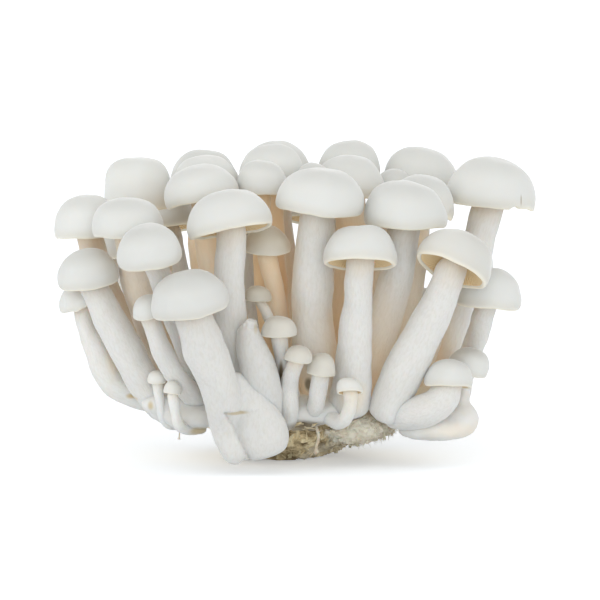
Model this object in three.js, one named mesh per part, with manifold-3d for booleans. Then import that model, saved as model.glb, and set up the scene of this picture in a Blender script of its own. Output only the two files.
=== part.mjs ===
// A bunch of white shimeji mushrooms, grown together from one butt on a plug of sawdust substrate.
// Millimetres, +Z up, the front faces -Y. The origin is on the plug's cut underside, on which the
// bunch stands.
import * as THREE from "three";
import { mergeVertices } from "three/addons/utils/BufferGeometryUtils.js";
import Module from "manifold-3d";

const wasm = await Module();
wasm.setup();

// ---------- driving dimensions ----------

const GAP = 0.35; // clearance between the butt, the plug, the mat and the stems that sit in them
const LARGE_CAP = 13; // caps at least this wide get the finer mesh
const SIDES = { large: 12, small: 8 }; // sides of a mushroom's round sections

// The rings of a cap from the gills outwards, as shares of its half width and of its height.
const CAP_RINGS = [
  { radius: 0.86, height: 0.1 }, // outer end of the gills
  { radius: 0.95, height: 0.0 }, // lip, the lowest part
  { radius: 1.0, height: 0.2 }, // widest part of the rim
  { radius: 0.86, height: 0.62 },
  { radius: 0.5, height: 0.92 },
];
const GILL_DEPTH = 0.22; // height of the stem's top above the lip, as a share of the cap's height
const STEM_STEPS = { large: [0, 0.3, 0.65, 0.9], small: [0, 0.45, 0.85] };

// The butt, where all the stems run together: overlapping lumps, mm.
const BUTT_LOBES = [
  { centre: [-2, 2, 11.5], radii: [27, 20, 6.5] }, // middle
  { centre: [0, -14, 14], radii: [17, 10, 4.4] }, // front
  { centre: [-10.5, -26.5, 13], radii: [8, 6.5, 9.5] }, // lobe that hangs down in front
  { centre: [2, 18, 9.5], radii: [21, 12, 5.5] }, // back
  { centre: [-29, -15, 13.8], radii: [9, 8, 4.2] }, // left front, under the small stems
  { centre: [-32, -5, 14.5], radii: [9, 9, 4.4] }, // left
  { centre: [-22, 9, 11.5], radii: [13, 11, 5] }, // left back
  { centre: [28, 2, 14.5], radii: [13, 11, 4.5] }, // right
  { centre: [33.5, -12.5, 12], radii: [10, 8, 4.2] }, // right front, under the low mushrooms
];
const LUMP_SIDES = 12;

// The plug of substrate from its cut underside up. Its front and right are broken away below.
const PLUG_RINGS = [
  { centre: [-4.5, 8], radius: 12, height: 0 },
  { centre: [-4.5, 6], radius: 13.5, height: 1.6 },
  { centre: [-2.5, 2.5], radius: 16.5, height: 4.6 },
  { centre: [0, 1], radius: 18, height: 7.6 },
  { centre: [1, 1], radius: 15, height: 10 },
];
const PLUG_SIDES = 28;

// The mat of mycelium that creeps out of the plug to the right, under the front stems.
const MAT_LOBES = [
  { centre: [13.5, -11, 10], radii: [9, 9.6, 4.6] },
  { centre: [17.5, -6, 9], radii: [6.5, 9, 3.6] },
];

const LOOKS = {
  flesh: { color: 0xeeece6, roughness: 0.6 },
  button: { color: 0xeee8da, roughness: 0.6 },
  butt: { color: 0xe6e0d2, roughness: 0.7 },
  substrate_plug: { color: 0x6b5738, roughness: 0.95 },
  mycelium_mat: { color: 0xc8c0ae, roughness: 0.95 },
};

// ---------- the mushrooms ----------

// One row each, with these columns:
//   foot  end of the stem inside the butt
//   bend  a point the stem passes half way up
//   head  middle of the cap's lip
//   stem  diameter at the foot, half way up and under the cap
//   cap   width and height
//   lean  tilt of the cap in degrees, to the right and to the back
const COLUMNS = ["foot", "bend", "head", "stem", "cap", "lean"];

const MUSHROOMS = {
  // front, left to right
  left_edge_drooping: [
    [-39, -6.5, 15.5], [-51, -8, 24.5], [-54, -7, 39.5], [5.5, 5.8, 5], [12.5, 5.5], [-20, 0],
  ],
  left_edge_stout: [
    [-35, -14, 15], [-44, -17, 30.5], [-52.6, -16, 45.7], [8, 8.8, 7], [15.6, 8.8], [-8, -4],
  ],
  left_small: [[-24, -19, 15], [-33, -28, 28], [-37.6, -31.8, 39.5], [6, 5.8, 4.6], [8, 5.8], [-6, -4]],
  front_left_leaning: [
    [-20.4, -13.5, 14], [-28.4, -20.4, 33], [-37, -33.8, 53.7], [7, 7, 6.2], [16.8, 9.8], [-9, -10],
  ],
  front_low_stout: [
    [-15.8, -31, 6.5], [-21.5, -35.5, 25.5], [-27, -39.6, 42.1], [7, 11, 9.6], [19.6, 10.4], [-11, -6],
  ],
  front_left_tall: [
    [-12.2, -16.4, 13], [-17.2, -22.5, 35], [-17, -27, 60.3], [8, 8.6, 7.6], [22, 11], [-11, 12],
  ],
  front_center_tall: [
    [7, -12, 13], [3.2, -15, 36], [4.4, -19, 64.6], [10, 11.5, 8.6], [22, 11.2], [7, 0],
  ],
  front_center_low: [
    [12.5, -18.5, 16.5], [14, -24, 32], [15, -29, 52.2], [11, 8.6, 6.8], [18.2, 10], [2, 19],
  ],
  front_right_tall: [[14, -8, 14], [21.5, -11, 37], [26, -17, 60.6], [8.6, 9, 8.6], [21.6, 11.4], [1, 0]],
  front_right_leaning: [
    [21.5, -19.5, 14.5], [30, -22, 33], [37.4, -25.5, 50.2], [10, 10, 7.6], [19.6, 10.4], [26, 27],
  ],
  right_edge_low: [[35, 1, 13], [42.5, -1, 26], [47, -9, 39], [6, 6, 5.6], [16.6, 10.4], [8, 0]],

  // second row
  left_edge_high: [[-27, 0, 13], [-46, 2, 37], [-53, -3, 56.4], [7, 7.5, 7], [16.4, 10.2], [-4, 0]],
  left_shoulder: [
    [-25, -5.5, 14], [-37, -9.5, 33], [-43, -19, 58.6], [8, 8.8, 7.4], [18.4, 9.4], [-4, 0],
  ],
  left_center_front: [
    [-12, -4, 15], [-19.5, -8, 38], [-24.4, -9, 65.8], [7, 6.5, 6], [18.8, 9], [-13, 4],
  ],
  inner_left_low: [[-1, -7, 15], [-5, -9, 34], [-8.2, -15, 54.3], [5, 5, 4.6], [12.2, 6.4], [3, -6]],
  inner_small_cap: [[-5, -3, 14], [-9, -4, 42], [-9.6, -6, 67.6], [5, 5, 4.6], [12.6, 8.4], [-2, 0]],
  center_second: [[4, -1, 14], [4, 0, 40], [3.8, 1, 65.6], [6, 6, 5], [10.6, 8.4], [0, 0]],
  right_second: [[18, 1, 13], [26.4, 2, 36], [30, 3.5, 59.4], [7, 7, 6.4], [17.6, 11.4], [4, 0]],

  // hidden among the stems
  left_inner_low: [[-19, -1, 13], [-30, 0, 30], [-38, -3, 47], [6, 6, 5], [13, 7.5], [-6, 0]],
  center_inner_low: [[10, -3, 14], [14, -4, 34], [15.5, -4.5, 50], [5.5, 5.5, 5], [12, 7], [2, 0]],
  right_inner_low: [[25, -2, 13], [33, -2, 31], [37.4, -1, 47.6], [5.5, 5.5, 5], [10.4, 7.2], [4, 0]],

  // the rows behind them, which show above
  back_left_high: [[-20, 7, 12], [-34, 11, 38], [-40.4, 14, 61.2], [7.5, 8, 7], [16.8, 12.8], [-4, 2]],
  left_center_middle: [[-12, 4, 13], [-23, 8.5, 41], [-23.8, 12, 65], [6.5, 7.6, 7], [17.6, 9.6], [-5, 2]],
  left_center_rear: [[-12, 13, 12], [-18, 22, 40], [-24, 31, 64], [6.5, 7, 6], [17, 9.4], [-5, 6]],
  center_left_top: [[-3, 5, 14], [-6, 8, 42], [-7, 10, 67.6], [6.5, 6.5, 6], [16.8, 10.2], [-2, 2]],
  center_rear_top: [[-2, 14, 12], [-4, 21, 42], [-6, 28, 66.4], [6.5, 6.5, 6], [18, 9.8], [0, 6]],
  center_right_top: [[9, 5, 14], [12, 9, 40], [12.6, 12, 64.4], [6.5, 8, 7.6], [16.8, 10.4], [2, 2]],
  right_rear_top: [[7, 13, 12], [10, 21, 42], [12.2, 29, 66.6], [6.5, 6.5, 6], [15.6, 10], [2, 6]],
  right_inner_small: [[14, 9, 13], [17.2, 16, 40], [22.8, 19.6, 62], [5.5, 6, 6], [9.6, 8.6], [4, 2]],
  right_rear_wide: [[16, 17, 12], [24, 25, 40], [30, 32, 64], [7, 7, 6], [18.8, 10.4], [6, 6]],
  right_broad: [[31, 6, 13], [39.5, 9, 35], [47.4, 13.5, 62.2], [8, 8.4, 7.8], [22.8, 11.8], [3, 2]],

  // back, left to right
  back_left_low: [[-24, 14, 11], [-38, 23, 30], [-46, 28, 46], [7.5, 7.5, 6.5], [17.4, 9.8], [-10, 12]],
  back_left_leaning: [[-17, 19, 10], [-28, 31, 32], [-34, 41, 52], [8, 8, 7], [19, 10.4], [-8, 16]],
  back_center_left: [[-8, 20, 10], [-13, 34, 30], [-15.5, 45.5, 50], [8, 9, 7.6], [20, 10.8], [-3, 18]],
  back_center: [[1, 21, 10], [3, 34, 32], [4.5, 44.5, 54], [8, 8.6, 7.4], [19, 10.6], [2, 16]],
  back_center_right: [[9, 21, 10], [17, 35, 28], [23, 47, 46], [8, 8.6, 7.4], [19.4, 10.4], [6, 18]],
  back_right_leaning: [[23, 13, 11], [34, 27, 28], [40, 36, 42], [7.5, 8, 7], [17.6, 10], [12, 14]],
  back_left_bottom: [[-17, 25, 8], [-29, 39, 18], [-34, 46, 33], [6, 6.4, 5.4], [14, 8], [-10, 22]],
  back_center_bottom: [[-1, 26, 8], [-5, 42, 18], [-7, 50, 33], [6, 6.4, 5.6], [15, 8.2], [-2, 22]],
  back_right_bottom: [[14, 24.5, 8], [24, 38, 17], [31, 45, 29], [6, 6.4, 5.4], [14, 8], [12, 20]],

  // low, half-grown and pinhead ones round the foot of the bunch
  low_right_front: [
    [28.5, -12, 12], [34, -20.5, 13.6], [36.9, -22.8, 20.8], [7, 8.6, 7.4], [12.2, 7.2], [4, 7],
  ],
  low_right_side: [
    [34, -6, 11], [39.5, -9, 15], [41.4, -10.5, 22.6], [4.6, 4.6, 4.2], [10.4, 7], [18, 6],
  ],
  button_center_high: [
    [-1, -16.5, 15], [-3.6, -23.5, 25], [-5.2, -29, 34.8], [4, 4.4, 4.2], [9.6, 5], [2, 2],
  ],
  button_center_left: [
    [-0.1, -19.5, 11], [-1.1, -27, 19], [-0.4, -31, 28.4], [5, 5, 4], [7.2, 3.9], [8, 4],
  ],
  button_center_round: [[2.9, -18, 13], [3.9, -25, 17.5], [5.4, -28, 24.7], [4, 4.4, 4], [6.8, 5], [4, 0]],
  button_center_bent: [[6.9, -20.5, 13], [11, -27, 13.4], [12.3, -31, 20.8], [4, 4, 3.6], [6.8, 4], [-4, 22]],
  button_inner: [
    [-1, -14.5, 17], [-4.4, -18.5, 31], [-10.4, -18.6, 42.2], [3, 3, 2.6], [6.4, 3.8], [4, 0],
  ],
  button_left_outer: [
    [-28, -14, 11], [-34, -20.5, 12.5], [-35.5, -22, 21.8], [3, 2.8, 2.6], [4.6, 3.1], [0, 0],
  ],
  button_left_inner: [
    [-25, -18.5, 10], [-30.5, -27, 12], [-32.1, -29, 20.1], [3, 2.8, 2.6], [4.4, 3.2], [4, 4],
  ],
  button_back_left: [[-30, 7, 11], [-37, 9, 14], [-39, 10, 21], [4, 4, 3.6], [8, 5], [-8, 6]],
  button_back_center: [[4.5, 24, 7], [7, 34, 11], [8, 37, 20], [4, 4, 3.6], [7.6, 4.6], [2, 8]],
  button_back_right: [[21, 20, 8], [27.5, 28, 12], [29, 31, 19.5], [4, 4, 3.6], [8, 5.2], [8, 6]],
};

// Stems whose cap has broken off: the same columns, but no cap. The last diameter is the torn end's.
const BROKEN_STEMS = {
  broken_stem_front: [[-7.2, -22.6, 12], [-10, -29, 24], [-12, -29.5, 34.5], [7.6, 10.4, 5]],
};

// ---------- building blocks ----------

const point = ([x, y, z]) => new THREE.Vector3(x, y, z);
const radians = THREE.MathUtils.degToRad;
const named = (row) => Object.fromEntries(row.map((value, i) => [COLUMNS[i], value]));

// The points of a round section: a circle about centre, square to axis.
function ring({ centre, axis, radius }, sides) {
  const across = new THREE.Vector3(1, 0, 0).addScaledVector(axis, -axis.x).normalize();
  const along = axis.clone().cross(across);
  return Array.from({ length: sides }, (_, i) => {
    const turn = (2 * Math.PI * i) / sides;
    return centre
      .clone()
      .addScaledVector(across, radius * Math.cos(turn))
      .addScaledVector(along, radius * Math.sin(turn));
  });
}

// One closed surface through a stack of rings, with a point at each end.
function skin(start, rings, end) {
  const sides = rings[0].length;
  const points = [start, ...rings.flat(), end];
  const at = (level, i) => 1 + level * sides + (i % sides);
  const faces = [];
  for (let i = 0; i < sides; i++) {
    faces.push(0, at(0, i + 1), at(0, i));
    for (let level = 0; level < rings.length - 1; level++) {
      faces.push(at(level, i), at(level, i + 1), at(level + 1, i + 1));
      faces.push(at(level, i), at(level + 1, i + 1), at(level + 1, i));
    }
    faces.push(points.length - 1, at(rings.length - 1, i), at(rings.length - 1, i + 1));
  }
  return new THREE.BufferGeometry().setFromPoints(points).setIndex(faces);
}

// The rings of a stem from the foot up to the neck. grow makes it that much thicker all round.
function stemSections({ foot, bend, stem }, neck, capAxis, steps, grow) {
  const spine = new THREE.CatmullRomCurve3([point(foot), point(bend), neck]);
  const [low, middle, high] = stem;
  const thickness = new THREE.SplineCurve([
    new THREE.Vector2(0, low),
    new THREE.Vector2(0.5, middle),
    new THREE.Vector2(1, high),
  ]);
  const sections = steps.map((t) => ({
    centre: spine.getPoint(t),
    axis: spine.getTangent(t),
    radius: thickness.getPoint(t).y / 2 + grow,
  }));
  sections[0].radius *= 0.8;
  sections.push({ centre: neck, axis: capAxis, radius: high / 2 + grow });
  return sections;
}

// The rings of a cap, from the gills' outer end over the rim to the dome.
function capSections({ head, cap }, capAxis, grow) {
  const [width, height] = cap;
  return CAP_RINGS.map((share) => {
    const side = share.height > 0.1 ? grow : -grow;
    return {
      centre: point(head).addScaledVector(capAxis, share.height * height + side),
      axis: capAxis,
      radius: (share.radius * width) / 2 + grow,
    };
  });
}

// A whole mushroom from its foot to the top of its cap, as one surface.
function mushroomGeometry(row, grow = 0) {
  const mushroom = named(row);
  const { foot, head, stem, cap, lean } = mushroom;
  const size = cap[0] >= LARGE_CAP ? "large" : "small";
  const capAxis = new THREE.Vector3(Math.tan(radians(lean[0])), Math.tan(radians(lean[1])), 1).normalize();
  const neck = point(head).addScaledVector(capAxis, cap[1] * GILL_DEPTH);
  const stemRings = stemSections(mushroom, neck, capAxis, STEM_STEPS[size], grow);
  const footEnd = point(foot).addScaledVector(stemRings[0].axis, -0.3 * stem[0] - grow);
  const top = point(head).addScaledVector(capAxis, cap[1] + grow);
  const sections = [...stemRings, ...capSections(mushroom, capAxis, grow)];
  return skin(footEnd, sections.map((section) => ring(section, SIDES[size])), top);
}

// A stem that ends in a blunt torn point instead of a cap.
function brokenStemGeometry(row, grow = 0) {
  const broken = named(row);
  const { foot, bend, head, stem } = broken;
  const endAxis = point(head).sub(point(bend)).normalize();
  const stemRings = stemSections(broken, point(head), endAxis, STEM_STEPS.large, grow);
  const footEnd = point(foot).addScaledVector(stemRings[0].axis, -0.3 * stem[0] - grow);
  const tornEnd = point(head).addScaledVector(endAxis, 0.4 * stem[2] + grow);
  return skin(footEnd, stemRings.map((section) => ring(section, SIDES.large)), tornEnd);
}

// An ellipsoid lump; grow makes it that much bigger all round.
function lump({ centre, radii }, grow = 0) {
  const geometry = new THREE.SphereGeometry(1, LUMP_SIDES, LUMP_SIDES / 2);
  geometry.rotateX(Math.PI / 2);
  geometry.scale(...radii.map((radius) => radius + grow));
  geometry.translate(...centre);
  return solid(geometry);
}

// The plug: a stack of uneven rings with flat ends, cut off square underneath.
function plug(grow = 0) {
  const last = PLUG_RINGS.length - 1;
  const rings = PLUG_RINGS.map(({ centre, radius, height }, level) => {
    const end = level === 0 ? -grow : level === last ? grow : 0;
    const middle = new THREE.Vector3(...centre, height + end);
    return Array.from({ length: PLUG_SIDES }, (_, i) => {
      const turn = (2 * Math.PI * i) / PLUG_SIDES;
      const uneven = 1 + 0.05 * Math.sin(3 * turn + 1) + 0.035 * Math.sin(5 * turn + level);
      const reach = radius * uneven + grow;
      return middle.clone().add(new THREE.Vector3(reach * Math.cos(turn), reach * Math.sin(turn), 0));
    });
  });
  const middles = [0, last].map((level) => {
    const { centre, height } = PLUG_RINGS[level];
    return new THREE.Vector3(...centre, height + (level === 0 ? -grow : grow));
  });
  return solid(skin(middles[0], rings, middles[1]));
}

// ---------- solids ----------

function solid(geometry) {
  const bare = geometry.clone();
  bare.deleteAttribute("normal");
  bare.deleteAttribute("uv");
  const merged = mergeVertices(bare, 1e-4);
  return new wasm.Manifold(
    new wasm.Mesh({
      numProp: 3,
      vertProperties: merged.attributes.position.array,
      triVerts: new Uint32Array(merged.index.array),
    }),
  );
}

function geometryOf(made) {
  const { vertProperties, triVerts } = made.getMesh();
  return new THREE.BufferGeometry()
    .setAttribute("position", new THREE.BufferAttribute(new Float32Array(vertProperties), 3))
    .setIndex(new THREE.BufferAttribute(new Uint32Array(triVerts), 1));
}

const union = (parts) => wasm.Manifold.union(parts);

// Cutting can leave crumbs; the piece is the biggest body.
const largest = (made) => made.decompose().sort((a, b) => b.volume() - a.volume())[0];

// ---------- the bunch ----------

const stems = union([
  ...Object.values(MUSHROOMS).map((row) => solid(mushroomGeometry(row, GAP))),
  ...Object.values(BROKEN_STEMS).map((row) => solid(brokenStemGeometry(row, GAP))),
]);
const butt = (grow) => union(BUTT_LOBES.map((lobe) => lump(lobe, grow)));
const mat = union(MAT_LOBES.map((lobe) => lump(lobe)));

const bunch = new THREE.Group();

function add(name, geometry, { color, roughness }) {
  geometry.computeVertexNormals();
  const mesh = new THREE.Mesh(geometry, new THREE.MeshStandardMaterial({ color, roughness, metalness: 0 }));
  mesh.name = name;
  bunch.add(mesh);
}

for (const [name, row] of Object.entries(MUSHROOMS)) {
  add(name, mushroomGeometry(row), name.startsWith("button") ? LOOKS.button : LOOKS.flesh);
}
for (const [name, row] of Object.entries(BROKEN_STEMS)) {
  add(name, brokenStemGeometry(row), LOOKS.flesh);
}
const seats = {
  butt: butt(0).subtract(stems),
  substrate_plug: plug().subtract(stems).subtract(butt(GAP)),
  mycelium_mat: mat.subtract(stems).subtract(butt(GAP)).subtract(plug(GAP)),
};
for (const [name, made] of Object.entries(seats)) {
  add(name, geometryOf(largest(made)), LOOKS[name]);
}

export default bunch;
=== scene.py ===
import bmesh
import bpy
import math
import random
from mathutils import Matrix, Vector


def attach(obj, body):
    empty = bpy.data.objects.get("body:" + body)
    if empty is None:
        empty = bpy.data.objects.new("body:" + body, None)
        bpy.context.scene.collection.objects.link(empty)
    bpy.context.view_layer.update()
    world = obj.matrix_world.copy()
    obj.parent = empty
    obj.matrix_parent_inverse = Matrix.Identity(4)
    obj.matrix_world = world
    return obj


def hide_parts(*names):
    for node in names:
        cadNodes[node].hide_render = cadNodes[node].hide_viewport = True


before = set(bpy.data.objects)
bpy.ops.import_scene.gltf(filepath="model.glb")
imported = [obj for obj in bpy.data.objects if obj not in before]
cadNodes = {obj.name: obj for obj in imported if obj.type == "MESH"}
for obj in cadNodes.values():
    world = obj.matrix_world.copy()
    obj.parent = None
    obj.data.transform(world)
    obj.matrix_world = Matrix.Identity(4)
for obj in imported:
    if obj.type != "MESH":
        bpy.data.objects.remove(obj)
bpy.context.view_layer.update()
random.seed(11)


def deselectAll():
    if bpy.context.object and bpy.context.object.mode != "OBJECT":
        bpy.ops.object.mode_set(mode="OBJECT")
    bpy.ops.object.select_all(action="DESELECT")


def pick(*pieces):
    deselectAll()
    for piece in pieces:
        piece.select_set(True)
    bpy.context.view_layer.objects.active = pieces[0]


def copyOf(piece, name):
    twin = piece.copy()
    twin.data = piece.data.copy()
    twin.name = name
    bpy.context.scene.collection.objects.link(twin)
    return twin


def remove(piece):
    bpy.data.objects.remove(piece, do_unlink=True)


def settle(piece):    # the object's place goes into its mesh
    pick(piece)
    bpy.ops.object.transform_apply(location=True, rotation=True, scale=True)


def modify(piece, kind, **settings):    # adds a modifier and applies it
    pick(piece)
    modifier = piece.modifiers.new(kind.title(), kind)
    for key, value in settings.items():
        setattr(modifier, key, value)
    bpy.ops.object.modifier_apply(modifier=modifier.name)


def subdivide(piece, levels):
    modify(piece, "SUBSURF", levels=levels, render_levels=levels)


def joined(name, *pieces):
    pick(*pieces)
    if len(pieces) > 1:
        bpy.ops.object.join()
    pieces[0].name = name
    return pieces[0]


def smooth(piece):
    pick(piece)
    bpy.ops.object.shade_smooth()


def faceOut(piece):
    pick(piece)
    bpy.ops.object.mode_set(mode="EDIT")
    bpy.ops.mesh.select_all(action="SELECT")
    bpy.ops.mesh.normals_make_consistent(inside=False)
    bpy.ops.object.mode_set(mode="OBJECT")


# Remembers where each point is now, for patterns that follow the shape.
def keepPlace(piece, name, scale=(1, 1, 1)):
    places = piece.data.attributes.new(name, "FLOAT_VECTOR", "POINT")
    flat = [c for vertex in piece.data.vertices for c in vertex.co * Vector(scale)]
    places.data.foreach_set("vector", flat)


# One number for the whole piece, which its material reads.
def keepNumber(piece, name, number):
    values = piece.data.attributes.new(name, "FLOAT", "POINT")
    values.data.foreach_set("value", [number] * len(piece.data.vertices))


def clouds(name, size, colour=False):
    texture = bpy.data.textures.new(name, "CLOUDS")
    texture.noise_scale = size
    texture.noise_depth = 2
    texture.cloud_type = "COLOR" if colour else "GRAYSCALE"
    return texture


def roughen(piece, texture, strength):
    modify(piece, "DISPLACE", texture=texture, strength=strength, mid_level=0.5, texture_coords="LOCAL")


def uneven(piece, name, size, strength):
    roughen(piece, clouds(name, size), strength)


def warp(piece, texture, strength):    # bends everything at one place the same way
    modify(piece, "DISPLACE", texture=texture, strength=strength, mid_level=0.5,
           texture_coords="LOCAL", direction="RGB_TO_XYZ")


def push(piece, centre, reach, move):    # moves the points near a place, the nearest the most
    centre, move = Vector(centre), Vector(move)
    for vertex in piece.data.vertices:
        nearness = 1 - (vertex.co - centre).length / reach
        if nearness > 0:
            vertex.co += move * (nearness * nearness * (3 - 2 * nearness))


def melt(piece, size, rounds):    # one closed skin over pieces that run into one another
    modify(piece, "REMESH", mode="VOXEL", voxel_size=size)
    modify(piece, "SMOOTH", factor=0.5, iterations=rounds)


# A round body made by extruding a disc upward, ring by ring. Each ring is (radius, height).
def ringStack(name, sides, rings):
    deselectAll()
    radius, height = rings[0]
    bpy.ops.mesh.primitive_circle_add(vertices=sides, radius=radius, fill_type="NGON",
                                      location=(0, 0, height))
    piece = bpy.context.object
    settle(piece)
    bpy.ops.object.mode_set(mode="EDIT")
    bpy.ops.mesh.select_all(action="SELECT")
    for (lastRadius, lastHeight), (radius, height) in zip(rings, rings[1:]):
        grow = radius / lastRadius
        bpy.ops.mesh.extrude_region_move(TRANSFORM_OT_translate={"value": (0, 0, height - lastHeight)})
        bpy.ops.transform.resize(value=(grow, grow, 1), center_override=(0, 0, height))
    bpy.ops.object.mode_set(mode="OBJECT")
    piece.name = name
    faceOut(piece)
    return piece


class Signal:    # a number in a material
    def __init__(self, finish, socket):
        self.finish = finish
        self.socket = socket

    def maths(self, operation, first, second):
        return self.finish.value("ShaderNodeMath", {"operation": operation}, {0: first, 1: second})

    def __add__(self, other):
        return self.maths("ADD", self, other)

    def __radd__(self, other):
        return self.maths("ADD", other, self)

    def __sub__(self, other):
        return self.maths("SUBTRACT", self, other)

    def __rsub__(self, other):
        return self.maths("SUBTRACT", other, self)

    def __mul__(self, other):
        return self.maths("MULTIPLY", self, other)

    def __rmul__(self, other):
        return self.maths("MULTIPLY", other, self)

    def __truediv__(self, other):
        return self.maths("DIVIDE", self, other)

    def __pow__(self, other):
        return self.maths("POWER", self, other)


class Nodes:    # the nodes of a material or of the world
    def __init__(self, owner):
        owner.use_nodes = True
        self.tree = owner.node_tree
        self.tree.nodes.clear()

    def add(self, kind, settings=None, sockets=None):
        made = self.tree.nodes.new(kind)
        for key, value in (settings or {}).items():
            setattr(made, key, value)
        for key, value in (sockets or {}).items():
            self.feed(made.inputs[key], value)
        return made

    def feed(self, socket, value):
        if isinstance(value, Signal):
            value = value.socket
        if isinstance(value, bpy.types.NodeSocket):
            self.tree.links.new(value, socket)
        elif socket.type == "RGBA":
            socket.default_value = (*value, 1.0)
        else:
            socket.default_value = value

    def value(self, kind, settings=None, sockets=None, output=0):
        return Signal(self, self.add(kind, settings, sockets).outputs[output])

    # 1 for what the camera, a mirror or glass sees, 0 for what lights other things.
    def onlySeen(self):
        path = self.add("ShaderNodeLightPath")
        camera, glossy, transmission = [Signal(self, path.outputs["Is %s Ray" % kind])
                                        for kind in ("Camera", "Glossy", "Transmission")]
        return camera + glossy + transmission


class Finish(Nodes):    # one material
    def __init__(self, name):
        self.material = bpy.data.materials.new(name)
        super().__init__(self.material)
        self.shader = self.add("ShaderNodeBsdfPrincipled")
        self.add("ShaderNodeOutputMaterial", {}, {"Surface": self.shader.outputs[0]})

    def place(self):
        return self.add("ShaderNodeTexCoord").outputs["Object"]

    def kept(self, name):    # a place remembered by keepPlace
        return self.add("ShaderNodeAttribute", {"attribute_name": name}).outputs["Vector"]

    def number(self, name):    # a number given by keepNumber
        return self.value("ShaderNodeAttribute", {"attribute_name": name}, output="Fac")

    def split(self, vector):
        made = self.add("ShaderNodeSeparateXYZ", {}, {0: vector})
        return [Signal(self, socket) for socket in made.outputs]

    def height(self, vector):
        return self.split(vector)[2]

    def stretched(self, vector, scale):
        made = self.add("ShaderNodeVectorMath", {"operation": "MULTIPLY"}, {0: vector, 1: scale})
        return made.outputs[0]

    def noise(self, vector, scale, detail=3.0, roughness=0.5):
        return self.value("ShaderNodeTexNoise", {},
                          {"Vector": vector, "Scale": scale, "Detail": detail, "Roughness": roughness})

    def ramp(self, value, low, high, toLow=0.0, toHigh=1.0):    # eases from toLow to toHigh
        return self.value("ShaderNodeMapRange", {"interpolation_type": "SMOOTHSTEP"},
                          {"Value": value, "From Min": low, "From Max": high,
                           "To Min": toLow, "To Max": toHigh})

    def mix(self, share, first, second):
        made = self.add("ShaderNodeMix", {"data_type": "RGBA"}, {0: share, 6: first, 7: second})
        return made.outputs[2]

    def shaded(self, colour, share):
        made = self.add("ShaderNodeVectorMath", {"operation": "SCALE"}, {0: colour, "Scale": share})
        return made.outputs[0]

    # A spot of this size along x, y and z, which fades out from its core.
    def mark(self, place, centre, size, core=0.35):
        stretch = tuple(1 / side for side in size)
        middle = tuple(c * k for c, k in zip(centre, stretch))
        away = self.value("ShaderNodeVectorMath", {"operation": "DISTANCE"},
                          {0: self.stretched(place, stretch), 1: middle}, "Value")
        return self.ramp(away, core, 1.0, 1.0, 0.0)

    def bump(self, height, distance, strength):
        made = self.add("ShaderNodeBump", {},
                        {"Height": height, "Distance": distance, "Strength": strength})
        self.feed(self.shader.inputs["Normal"], made.outputs[0])

    def set(self, **sockets):
        for key, value in sockets.items():
            self.feed(self.shader.inputs[key.replace("_", " ")], value)


flesh = {
    "cap": (0.725, 0.73, 0.70),
    # painted shade on the tops of the caps
    "capTopShade": (0.61, 0.615, 0.585),
    "capWarm": (0.53, 0.45, 0.305),    # cream of a young cap, and painted warm shade on a hidden one
    "capLip": (0.80, 0.75, 0.63),
    "capLow": (0.69, 0.66, 0.58),
    "gills": (0.72, 0.53, 0.28),
    "gillEdge": (0.78, 0.61, 0.36),
    "stem": (0.78, 0.775, 0.75),
    "stemFibre": (0.70, 0.685, 0.64),
    "warmShade": (0.91, 0.77, 0.57),    # painted warm shade deep in the bunch
    "warmShadePatch": (0.88, 0.66, 0.42),
    "tan": (0.86, 0.63, 0.37),    # painted warm shade on stems that stand in the shade of others
    # painted deep shade, darker and warmer
    "deepShadeTan": (0.78, 0.45, 0.18),
    # ochre stains, also used as painted shade under the ledge and in a gap
    "ochreStainAndShade": (0.56, 0.43, 0.20),
    "shadow": (0.20, 0.155, 0.09),
    "crack": (0.30, 0.24, 0.16),    # the slit in the broad cap at the right
    "crackPlace": (0.0553, 0.005, 0.0642),
    "crackSize": (0.00016, 0.006, 0.0019),
    # bands of a cap or stem, as shares of its height
    "capTopShadeBand": (0.55, 1.0),
    "capLowBand": (0.05, 0.34),
    "capLipBand": (0.01, 0.06),
    "lipGlowBand": (0.0, 0.12),
    "gillEdgeBand": (0.06, 0.34),
    "stemNeckShadeBand": (0.80, 0.97),
    # the painted warm shade in the middle of the bunch: its middle and reach along x and y, where it
    # fades out, across and upward
    "warmShadeCentre": (0.0, 0.0),
    "warmShadeReach": (0.048, 0.0235),
    "warmShadeFade": (0.55, 0.97),
    "warmShadeTop": (0.056, 0.070),
    # how fine the patterns are
    "capMottle": 130,
    "capGrain": 1100,
    "stemStretch": (6.0, 6.0, 22.0),
    "stemStreaks": 1.4,
    "stemMottle": 110,
    "patch": 70,
    "buttMottle": 90,
    "buttGrain": 420,
    "capGlow": 0.2,    # light that passes through the flesh
    "stemGlow": 0.45,
    "glowDepth": 0.0030,
    "glowTint": (1.0, 0.75, 0.55),
    "shine": 0.2,
    "fuzz": 0.60,    # the pale bloom that shows where the skin turns away
    "fuzzSpread": 0.30,
    "paintedGlowColour": (1.0, 0.94, 0.74),    # painted glow: colour the flesh gives off by itself, standing in for light that passes through thin flesh into the middle of the bunch
    # how strongly the painted glow shines, and how much more of it the lip gets
    "inner": 0.07,
    "lipGlow": 1.6,
}
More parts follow.
